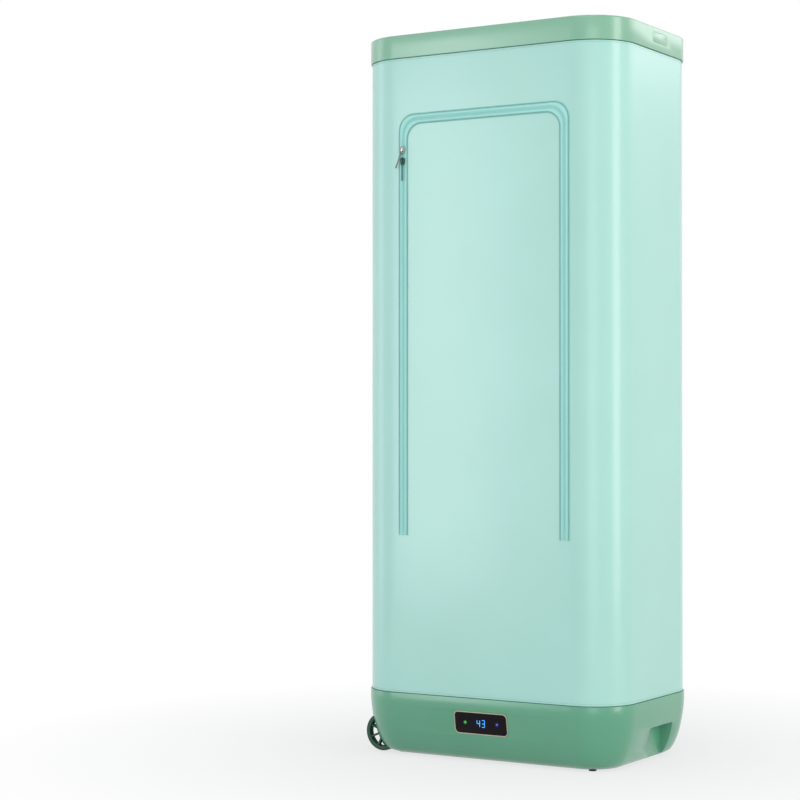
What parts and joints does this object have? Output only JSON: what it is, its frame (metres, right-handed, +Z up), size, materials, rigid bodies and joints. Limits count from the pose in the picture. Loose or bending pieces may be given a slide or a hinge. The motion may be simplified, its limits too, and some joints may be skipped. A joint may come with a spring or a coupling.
{
  "type": "portable clothes dryer",
  "caption": "Portable clothes dryer: a blower base on wheels, a lid raised on telescopic poles and a zipped fabric cover; the lid lowers to close it into a suitcase.",
  "frame": {"origin": "on the ground under the middle of the case", "axes": "+X towards the carrying end opposite the wheels, -Y towards the display and zip, +Z up"},
  "size_m": [0.5, 0.3442, 1.2355],
  "materials": {
    "base_plastic": "sage-green moulded plastic, semi-gloss",
    "lid_plastic": "pale mint moulded plastic, semi-gloss",
    "wheel_plastic": "dark green moulded plastic, satin",
    "deck_plastic": "pale grey-green moulded plastic, matte",
    "inner_plastic": "grey moulded plastic, matte",
    "foot_rubber": "black rubber, matte",
    "bright_steel": "zinc-plated steel, satin",
    "pole_steel": "stainless steel tube, smooth",
    "cover_fabric": "pale mint woven polyester, taut",
    "zip_fabric": "turquoise zip tape and coil",
    "zip_metal": "bright zip metal",
    "heater_aluminium": "bare aluminium fins",
    "bezel_metal": "champagne-grey paint, satin",
    "display_glass": "black glossy window",
    "power_key": "green lit dome",
    "mode_key": "blue lit dome",
    "circuit_board": "green board with a digit module"
  },
  "bodies": {
    "base": {"base_shell": "base_plastic", "base_deck": "deck_plastic", "base_hem_ring": "inner_plastic", "foot_front_left": "foot_rubber", "foot_front_right": "foot_rubber", "foot_rear_left": "foot_rubber", "foot_rear_right": "foot_rubber", "wheel_axle_front": "bright_steel", "wheel_axle_rear": "bright_steel", "display_bezel": "bezel_metal", "display_glass": "display_glass", "control_board": "circuit_board", "intake_grille": "base_plastic", "power_inlet": "inner_plastic", "blower_scroll": "inner_plastic", "blower_motor": "bright_steel", "air_duct": "inner_plastic", "heater": "heater_aluminium", "outlet_grille": "deck_plastic", "latch_keeper": "bright_steel", "pole_left_01": "pole_steel", "pole_right_01": "pole_steel", "fabric_cover": "cover_fabric"},
    "lid": {"lid_shell": "lid_plastic", "lid_panel": "lid_plastic", "lid_hem_ring": "inner_plastic", "hanging_rod_front": "pole_steel", "hanging_rod_rear": "pole_steel", "rod_bracket_left": "pole_steel", "rod_bracket_right": "pole_steel", "pole_left_10": "pole_steel", "pole_right_10": "pole_steel"},
    "left_tube_2": {"pole_left_02": "pole_steel"},
    "left_tube_3": {"pole_left_03": "pole_steel"},
    "left_tube_4": {"pole_left_04": "pole_steel"},
    "left_tube_5": {"pole_left_05": "pole_steel"},
    "left_tube_6": {"pole_left_06": "pole_steel"},
    "left_tube_7": {"pole_left_07": "pole_steel"},
    "left_tube_8": {"pole_left_08": "pole_steel"},
    "left_tube_9": {"pole_left_09": "pole_steel"},
    "right_tube_2": {"pole_right_02": "pole_steel"},
    "right_tube_3": {"pole_right_03": "pole_steel"},
    "right_tube_4": {"pole_right_04": "pole_steel"},
    "right_tube_5": {"pole_right_05": "pole_steel"},
    "right_tube_6": {"pole_right_06": "pole_steel"},
    "right_tube_7": {"pole_right_07": "pole_steel"},
    "right_tube_8": {"pole_right_08": "pole_steel"},
    "right_tube_9": {"pole_right_09": "pole_steel"},
    "zip": {"zip_chain": "zip_fabric"},
    "upper_slider": {"zip_slider_upper": "zip_metal"},
    "lower_slider": {"zip_slider_lower": "zip_metal"},
    "upper_tab": {"pull_tab_upper": "zip_metal"},
    "lower_tab": {"pull_tab_lower": "zip_metal"},
    "front_wheel": {"wheel_front": "wheel_plastic"},
    "rear_wheel": {"wheel_rear": "wheel_plastic"},
    "impeller": {"blower_impeller": "inner_plastic"},
    "power_key": {"power_key": "power_key"},
    "mode_key": {"mode_key": "mode_key"},
    "latch": {"latch_button": "lid_plastic"}
  },
  "joints": [
    {"name": "lid_height", "type": "slide", "parent": "base", "child": "lid", "axis": [0, 0, 1], "range_m": [-1.0859, 0], "deforming": ["fabric_cover", "zip_chain"]},
    {"name": "left_tube_2_slide", "type": "slide", "parent": "base", "child": "left_tube_2", "axis": [0, 0, 1], "range_m": [-0.1212, 0.0005]},
    {"name": "left_tube_3_slide", "type": "slide", "parent": "base", "child": "left_tube_3", "axis": [0, 0, 1], "range_m": [-0.2418, 0.0005]},
    {"name": "left_tube_4_slide", "type": "slide", "parent": "base", "child": "left_tube_4", "axis": [0, 0, 1], "range_m": [-0.3625, 0.0005]},
    {"name": "left_tube_5_slide", "type": "slide", "parent": "base", "child": "left_tube_5", "axis": [0, 0, 1], "range_m": [-0.4831, 0.0005]},
    {"name": "left_tube_6_slide", "type": "slide", "parent": "base", "child": "left_tube_6", "axis": [0, 0, 1], "range_m": [-0.6038, 0.0005]},
    {"name": "left_tube_7_slide", "type": "slide", "parent": "base", "child": "left_tube_7", "axis": [0, 0, 1], "range_m": [-0.7244, 0.0005]},
    {"name": "left_tube_8_slide", "type": "slide", "parent": "base", "child": "left_tube_8", "axis": [0, 0, 1], "range_m": [-0.8451, 0.0005]},
    {"name": "left_tube_9_slide", "type": "slide", "parent": "base", "child": "left_tube_9", "axis": [0, 0, 1], "range_m": [-0.9657, 0.0005]},
    {"name": "right_tube_2_slide", "type": "slide", "parent": "base", "child": "right_tube_2", "axis": [0, 0, 1], "range_m": [-0.1212, 0.0005]},
    {"name": "right_tube_3_slide", "type": "slide", "parent": "base", "child": "right_tube_3", "axis": [0, 0, 1], "range_m": [-0.2418, 0.0005]},
    {"name": "right_tube_4_slide", "type": "slide", "parent": "base", "child": "right_tube_4", "axis": [0, 0, 1], "range_m": [-0.3625, 0.0005]},
    {"name": "right_tube_5_slide", "type": "slide", "parent": "base", "child": "right_tube_5", "axis": [0, 0, 1], "range_m": [-0.4831, 0.0005]},
    {"name": "right_tube_6_slide", "type": "slide", "parent": "base", "child": "right_tube_6", "axis": [0, 0, 1], "range_m": [-0.6038, 0.0005]},
    {"name": "right_tube_7_slide", "type": "slide", "parent": "base", "child": "right_tube_7", "axis": [0, 0, 1], "range_m": [-0.7244, 0.0005]},
    {"name": "right_tube_8_slide", "type": "slide", "parent": "base", "child": "right_tube_8", "axis": [0, 0, 1], "range_m": [-0.8451, 0.0005]},
    {"name": "right_tube_9_slide", "type": "slide", "parent": "base", "child": "right_tube_9", "axis": [0, 0, 1], "range_m": [-0.9657, 0.0005]},
    {"name": "zip_fold", "type": "slide", "parent": "base", "child": "zip", "axis": [0, -0.0143, 0.9999], "range_m": [-0.9061, 0.0005]},
    {"name": "zip_opening", "type": "slide", "parent": "zip", "child": "lower_slider", "axis": [0, 0, -1], "range_m": [0, 0.62]},
    {"name": "zip_closing", "type": "slide", "parent": "zip", "child": "upper_slider", "axis": [0, 0, 1], "range_m": [0, 0.028]},
    {"name": "lower_tab_swing", "type": "hinge", "parent": "lower_slider", "child": "lower_tab", "pos_m": [-0.149, -0.1724, 1.0163], "axis": [-1, 0, 0], "range_deg": [0, 135]},
    {"name": "upper_tab_swing", "type": "hinge", "parent": "upper_slider", "child": "upper_tab", "pos_m": [-0.149, -0.1724, 1.0358], "axis": [-0.9135, 0, 0.4067], "range_deg": [0, 135]},
    {"name": "front_wheel_spin", "type": "hinge", "parent": "base", "child": "front_wheel", "pos_m": [-0.211, -0.13, 0.035], "axis": [0, 1, 0], "continuous": true},
    {"name": "rear_wheel_spin", "type": "hinge", "parent": "base", "child": "rear_wheel", "pos_m": [-0.211, 0.13, 0.035], "axis": [0, 1, 0], "continuous": true},
    {"name": "impeller_spin", "type": "hinge", "parent": "base", "child": "impeller", "pos_m": [-0.085, 0.025, 0.03], "axis": [0, 0, 1], "continuous": true},
    {"name": "power_key_press", "type": "slide", "parent": "base", "child": "power_key", "axis": [0, 0.9871, 0.1601], "range_m": [0, 0.001], "stiffness_N_per_m": 900, "springref_m": -0.0004},
    {"name": "mode_key_press", "type": "slide", "parent": "base", "child": "mode_key", "axis": [0, 0.9871, 0.1601], "range_m": [0, 0.001], "stiffness_N_per_m": 900, "springref_m": -0.0004},
    {"name": "latch_press", "type": "slide", "parent": "lid", "child": "latch", "axis": [-1, 0, 0], "range_m": [0, 0.003], "stiffness_N_per_m": 700, "springref_m": -0.001}
  ],
  "couplings": [
    {"joint": "left_tube_2_slide", "follows": "lid_height", "ratio": 0.11111},
    {"joint": "left_tube_3_slide", "follows": "lid_height", "ratio": 0.22222},
    {"joint": "left_tube_4_slide", "follows": "lid_height", "ratio": 0.33333},
    {"joint": "left_tube_5_slide", "follows": "lid_height", "ratio": 0.44444},
    {"joint": "left_tube_6_slide", "follows": "lid_height", "ratio": 0.55556},
    {"joint": "left_tube_7_slide", "follows": "lid_height", "ratio": 0.66667},
    {"joint": "left_tube_8_slide", "follows": "lid_height", "ratio": 0.77778},
    {"joint": "left_tube_9_slide", "follows": "lid_height", "ratio": 0.88889},
    {"joint": "right_tube_2_slide", "follows": "lid_height", "ratio": 0.11111},
    {"joint": "right_tube_3_slide", "follows": "lid_height", "ratio": 0.22222},
    {"joint": "right_tube_4_slide", "follows": "lid_height", "ratio": 0.33333},
    {"joint": "right_tube_5_slide", "follows": "lid_height", "ratio": 0.44444},
    {"joint": "right_tube_6_slide", "follows": "lid_height", "ratio": 0.55556},
    {"joint": "right_tube_7_slide", "follows": "lid_height", "ratio": 0.66667},
    {"joint": "right_tube_8_slide", "follows": "lid_height", "ratio": 0.77778},
    {"joint": "right_tube_9_slide", "follows": "lid_height", "ratio": 0.88889},
    {"joint": "zip_fold", "follows": "lid_height", "ratio": 0.834}
  ]
}
